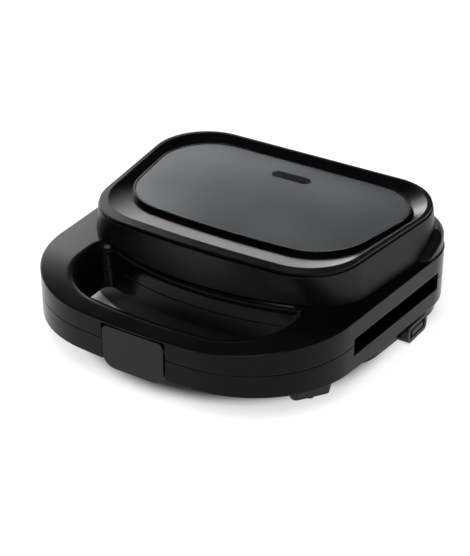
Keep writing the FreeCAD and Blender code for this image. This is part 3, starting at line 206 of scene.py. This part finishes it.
# %% Coated plates
# Near black and half matt, with a pebbled surface.
non_stick_coating = finish(
    "non_stick_coating", colours=("#1b1b1d", "#242427"), roughness=(0.40, 0.50), patch_mm=12,
    grain_mm=0.9, grain_depth_mm=0.03, edge_mm=0.6, values={"IOR": 1.38})
print("plates", non_stick_coating.name)

# %% [markdown]
# Screws, pins, heater tubes, heat shields and the fuse are plain metals. Most of them lie hidden,
# and the plate screws show when the lid opens. One grey could serve for all. A metal has no colour
# under its shine, so each one is fully metallic, takes its tint from the base colour and keeps the
# default IOR, and what tells them apart is that tint and how rough rolling, plating or heat left
# them.

# %% Metals
metal = {"Metallic": 1.0}
# Zinc plated screws and pins: bright grey with a faint cloud.
zinc_plated_steel = finish(
    "zinc_plated_steel", colours=("#a9abad", "#b9bbbc"), roughness=(0.28, 0.38), patch_mm=4,
    grain_mm=0.4, grain_depth_mm=0.004, edge_mm=0.2, values=metal)
# Stainless heater tube, annealed by its own heat: dull brown-grey.
annealed_stainless = finish(
    "annealed_stainless", colours=("#6d6660", "#7f7872"), roughness=(0.40, 0.52), patch_mm=18,
    grain_mm=0.6, grain_depth_mm=0.006, edge_mm=0.2, values=metal)
# Heat shields of aluminium sheet as rolled: pale grey with a soft sheen.
rolled_aluminium = finish(
    "rolled_aluminium", colours=("#c2c3c5", "#cfd0d1"), roughness=(0.30, 0.42), patch_mm=20,
    grain_mm=0.5, grain_depth_mm=0.004, edge_mm=0.3, values=metal)
# Case of the fuse, plain brass: yellow, a little dulled.
plain_brass = finish(
    "plain_brass", colours=("#b79a5c", "#c6aa6c"), roughness=(0.30, 0.40), patch_mm=5,
    grain_mm=0.5, grain_depth_mm=0.003, edge_mm=0.2, values=metal)
metals = (zinc_plated_steel, annealed_stainless, rolled_aluminium, plain_brass)
print("metals", [material.name for material in metals])

# %% [markdown]
# The foot pads and the cord bush are moulded rubber, and the terminal block, the thermostat and the
# lamp carrier are pressed steatite, a ceramic. Both materials are matt. Each could have a recipe of
# its own, but they share the one of the plastics: only colour, roughness and grain change.

# %% Rubber and insulators
# Black-grey that hardly shines.
moulded_rubber = finish(
    "moulded_rubber", colours=("#161616", "#1f1f1f"), roughness=(0.75, 0.85), patch_mm=6,
    grain_mm=0.6, grain_depth_mm=0.02, edge_mm=0.4, values={"IOR": 1.52})
# Unglazed off-white with a chalky look.
pressed_steatite = finish(
    "pressed_steatite", colours=("#d8d3c6", "#e2ddd1"), roughness=(0.65, 0.75), patch_mm=5,
    grain_mm=0.5, grain_depth_mm=0.01, edge_mm=0.4, values={"IOR": 1.55})
print("rubber and ceramic", moulded_rubber.name, pressed_steatite.name)

# %% [markdown]
# Each CAD node has a material slot in the record. Finishes could be given node by node, but pieces
# of one slot are made of one material, so a table gives the finish of each slot. A second, small
# one names the shell pieces that are satin instead of polished. A node keeps its mesh: only its
# material changes.

# %% Dress the CAD nodes
by_slot = {
    "black_shell": polished_abs,
    "black_moulding": textured_abs,
    "steel": zinc_plated_steel,
    "element_sheath": annealed_stainless,
    "reflector_sheet": rolled_aluminium,
    "coated_plate": non_stick_coating,
    "grey_panel": grey_lacquer,
    "smoked_lens": smoked_acrylic,
    "red_lamp": red_acrylic,
    "green_lamp": green_acrylic,
    "rubber": moulded_rubber,
    "insulator": pressed_steatite,
    "fuse_metal": plain_brass,
}
by_node = {"lid_dome": satin_abs, "latch": satin_abs}


def dress(node, material):
    """Give a CAD node one material."""
    mesh = frame["nodes"][node].data
    mesh.materials.clear()
    mesh.materials.append(material)


for subpart in frame["record"]["subparts"]:
    node = subpart["node"]
    dress(node, by_node.get(node, by_slot[subpart["material_slot"]]))

# %% [markdown]
# The studio has a white floor that runs out of the picture. More light would make it white, but
# also wash out the object. So the floor is pale and takes the shadow, and for camera, glossy and
# transmission rays it also glows a little. The glow fades out under the object, a painted shadow
# where a real floor lies in the dark, and grows far away, where the lamps don't reach. From below
# the floor is see-through, so that the underside can be looked at.

# %% Floor material
footprint = (cad_box[1].x, cad_box[1].y, 1.0)
# Below this range the glow is zero: a painted shadow under the object.
painted_shadow_fade = (0.8, 0.95)      # in half footprints from the middle: the near glow rises here
near_glow = 0.68
far_range = (4.0, 14.0)       # in half footprints from the middle: the far glow rises here
far_glow = 0.32
floor_colour = "#c8c8c8"


def floor_glow(tree):
    """Strength of the floor's own light: near and far glow for the rays that look at it, and a painted
    shadow under the object.
    """
    path = add(tree, "ShaderNodeLightPath")
    seen = add(tree, "ShaderNodeMath", {"operation": "MAXIMUM"}, {},
               {0: (path, "Is Camera Ray"), 1: (path, "Is Glossy Ray")})
    shown = add(tree, "ShaderNodeMath", {"operation": "MAXIMUM"}, {},
                {0: (seen, "Value"), 1: (path, "Is Transmission Ray")})
    where = add(tree, "ShaderNodeTexCoord")
    reach = add(tree, "ShaderNodeVectorMath", {"operation": "DIVIDE"}, {1: footprint},
                {0: (where, "Object")})
    away = add(tree, "ShaderNodeVectorMath", {"operation": "LENGTH"}, {}, {0: (reach, "Vector")})
    # No near glow under the object: a painted shadow there.
    near = add(tree, "ShaderNodeMapRange", {"interpolation_type": "SMOOTHSTEP"},
               {"From Min": painted_shadow_fade[0], "From Max": painted_shadow_fade[1],
                "To Min": 0.0, "To Max": near_glow},
               {"Value": (away, "Value")})
    far = add(tree, "ShaderNodeMapRange", {},
              {"From Min": far_range[0], "From Max": far_range[1],
               "To Min": 0.0, "To Max": far_glow},
              {"Value": (away, "Value")})
    level = add(tree, "ShaderNodeMath", {"operation": "ADD"}, {},
                {0: (near, "Result"), 1: (far, "Result")})
    return add(tree, "ShaderNodeMath", {"operation": "MULTIPLY"}, {},
               {0: (shown, "Value"), 1: (level, "Value")})


def white_floor():
    """Pale floor that reads as white, keeps the real shadow and has a painted shadow under the object.
    """
    material, tree = new_material("white_floor")
    glow = floor_glow(tree)
    light = add(tree, "ShaderNodeEmission", {}, {"Color": white}, {"Strength": (glow, "Value")})
    paint = add(tree, "ShaderNodeBsdfDiffuse", {}, {"Color": linear(floor_colour)})
    both = add(tree, "ShaderNodeAddShader", {}, {}, {0: (light, "Emission"), 1: (paint, "BSDF")})
    side = add(tree, "ShaderNodeNewGeometry")
    clear = add(tree, "ShaderNodeBsdfTransparent")
    surface = add(tree, "ShaderNodeMixShader", {}, {},
                  {0: (side, "Backfacing"), 1: (both, "Shader"), 2: (clear, "BSDF")})
    add(tree, "ShaderNodeOutputMaterial", {}, {}, {"Surface": (surface, "Shader")})
    return material


floor_material = white_floor()
print("floor glow", near_glow, "near and", near_glow + far_glow, "far away")

# %% [markdown]
# The floor is one large square, and low walls along its sides close the view to the horizon. A
# curved backdrop would do the same. The walls stand metres away, where nobody sees how they meet
# the floor, so five plain faces are enough.

# %% Floor and backdrop
floor_half = 6.0
backdrop_height = 1.5
floor_mesh = bpy.data.meshes.new("floor")
square = [(-1, -1), (1, -1), (1, 1), (-1, 1)]
corners = [(x * floor_half, y * floor_half, z) for z in (0, backdrop_height) for x, y in square]
walls = [(b, a, a + 4, b + 4) for a, b in ((0, 1), (1, 2), (2, 3), (3, 0))]
floor_mesh.from_pydata(corners, [], [(0, 1, 2, 3)] + walls)
floor_mesh.materials.append(floor_material)
floor = bpy.data.objects.new("floor", floor_mesh)
bpy.context.scene.collection.objects.link(floor)
print("floor faces", len(floor_mesh.polygons))

# %% [markdown]
# Black plastic shows its shape by what it mirrors. An even white sky would light it, but leave it
# flat. Level faces mirror the low back left, so a wide softbox stands there, and a second one,
# higher and further round, brightens the left of the grip. Upright walls mirror the white floor
# beside them. A soft key above and in front lights the object at a plain level, away from what the
# camera sees mirrored.

# %% Lamps
def softbox(name, place, aim, width, height, power):
    """Rectangular lamp at a place, turned to a point."""
    lamp = bpy.data.lights.new(name, "AREA")
    lamp.shape = "RECTANGLE"
    lamp.size = width
    lamp.size_y = height
    lamp.energy = power
    holder = bpy.data.objects.new(name, lamp)
    holder.location = place
    holder.rotation_euler = (Vector(aim) - Vector(place)).to_track_quat("-Z", "Y").to_euler()
    bpy.context.scene.collection.objects.link(holder)
    return holder


middle = (0, 0, 0.05)
lamps = [
    softbox("back_left", place=(-1.45, 1.45, 0.42), aim=middle, width=2.2, height=0.85, power=22),
    softbox("left_rear", place=(-1.9, 1.1, 0.9), aim=middle, width=1.5, height=0.9, power=18),
    softbox("overhead", place=(0.5, -1.1, 2.0), aim=middle, width=1.5, height=1.5, power=38),
]
print("lamps", {holder.name: holder.data.energy for holder in lamps})

# %% [markdown]
# A room also sends a little light from everywhere, which keeps the deepest shadows readable. More
# lamps could do it. A weak white world is simpler and makes no highlights of its own.

# %% World
room_light = 0.06
world = bpy.data.worlds.new("studio")
bpy.context.scene.world = world
world.use_nodes = True
world.node_tree.nodes["Background"].inputs["Color"].default_value = white
world.node_tree.nodes["Background"].inputs["Strength"].default_value = room_light
print("room light", room_light)

# %% [markdown]
# The camera was fitted to the photograph by matching edges of the object: it stands to the right of
# the front, looks down by about thirty degrees, and has a long lens. It could track an empty
# object. Three axes worked out from its two angles keep it exactly where the fit put it.

# %% Camera
camera_place = (0.4977, -0.7689, 0.5511)
azimuth = math.radians(32.893)
elevation = math.radians(29.578)
lens_mm = 97.7
sensor_mm = 36.0
right = Vector((math.cos(azimuth), math.sin(azimuth), 0))
back = Vector((math.sin(azimuth) * math.cos(elevation), -math.cos(azimuth) * math.cos(elevation),
               math.sin(elevation)))
up = back.cross(right)
lens = bpy.data.cameras.new("camera")
lens.lens = lens_mm
lens.sensor_width = sensor_mm
camera = bpy.data.objects.new("camera", lens)
turn = Matrix((right, up, back)).transposed().to_4x4()
camera.matrix_world = Matrix.Translation(camera_place) @ turn
bpy.context.scene.collection.objects.link(camera)
bpy.context.scene.camera = camera
print("camera", camera_place, "lens", lens_mm)

# %% [markdown]
# The picture is kept in plain display colours: a film look would be prettier, but would change
# them.

# %% Finish
bpy.context.scene.view_settings.view_transform = "Standard"
